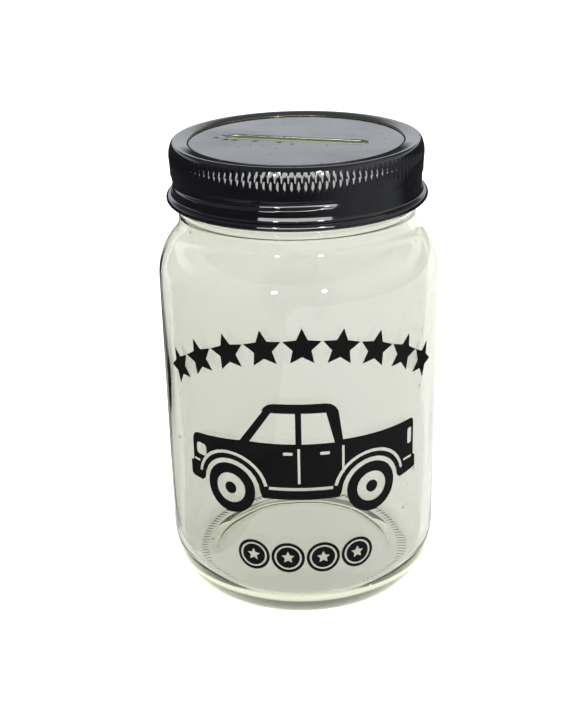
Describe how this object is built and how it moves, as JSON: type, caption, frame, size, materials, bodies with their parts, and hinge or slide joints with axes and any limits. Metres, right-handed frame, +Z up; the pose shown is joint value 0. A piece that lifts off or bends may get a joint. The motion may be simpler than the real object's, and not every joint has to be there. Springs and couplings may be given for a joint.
{
  "type": "coin bank jar",
  "caption": "Clear glass jar with a screw lid: a knurled screw band holds a flat disc with a long coin slot on the lip, and cut vinyl shapes decorate the front.",
  "frame": {"origin": "middle of the base, on the surface the jar stands on", "axes": "+Z up along the jar's axis, -Y towards the decorated front, +X to the right seen from the front"},
  "size_m": [0.0804, 0.0806, 0.133],
  "materials": {
    "clear_glass": "clear soda-lime glass, fire-polished, gloss",
    "black_band": "gloss black lacquer on tinplate",
    "black_disc": "gloss black lacquer on tinplate",
    "seal": "soft matte sealing compound",
    "black_vinyl": "satin black cut vinyl film"
  },
  "bodies": {
    "jar": {"glass_jar": "clear_glass", "decal_pickup_body": "black_vinyl", "decal_front_wheel": "black_vinyl", "decal_rear_wheel": "black_vinyl", "decal_star_1": "black_vinyl", "decal_star_2": "black_vinyl", "decal_star_3": "black_vinyl", "decal_star_4": "black_vinyl", "decal_star_5": "black_vinyl", "decal_star_6": "black_vinyl", "decal_star_7": "black_vinyl", "decal_star_8": "black_vinyl", "decal_star_9": "black_vinyl", "decal_coin_1": "black_vinyl", "decal_coin_2": "black_vinyl", "decal_coin_3": "black_vinyl", "decal_coin_4": "black_vinyl"},
    "disc": {"slot_disc": "black_disc", "seal_ring": "seal"},
    "band": {"screw_band": "black_band"}
  },
  "joints": [
    {"name": "lid_lift", "type": "slide", "parent": "jar", "child": "disc", "axis": [0, 0, 1], "range_m": [0, 0.01778]},
    {"name": "band_turn", "type": "hinge", "parent": "disc", "child": "band", "pos_m": [0, 0, 0.1315], "axis": [0, 0, 1], "range_deg": [0, 1260]}
  ],
  "couplings": [
    {"joint": "lid_lift", "follows": "band_turn", "m_per_rad": 0.00080851}
  ]
}
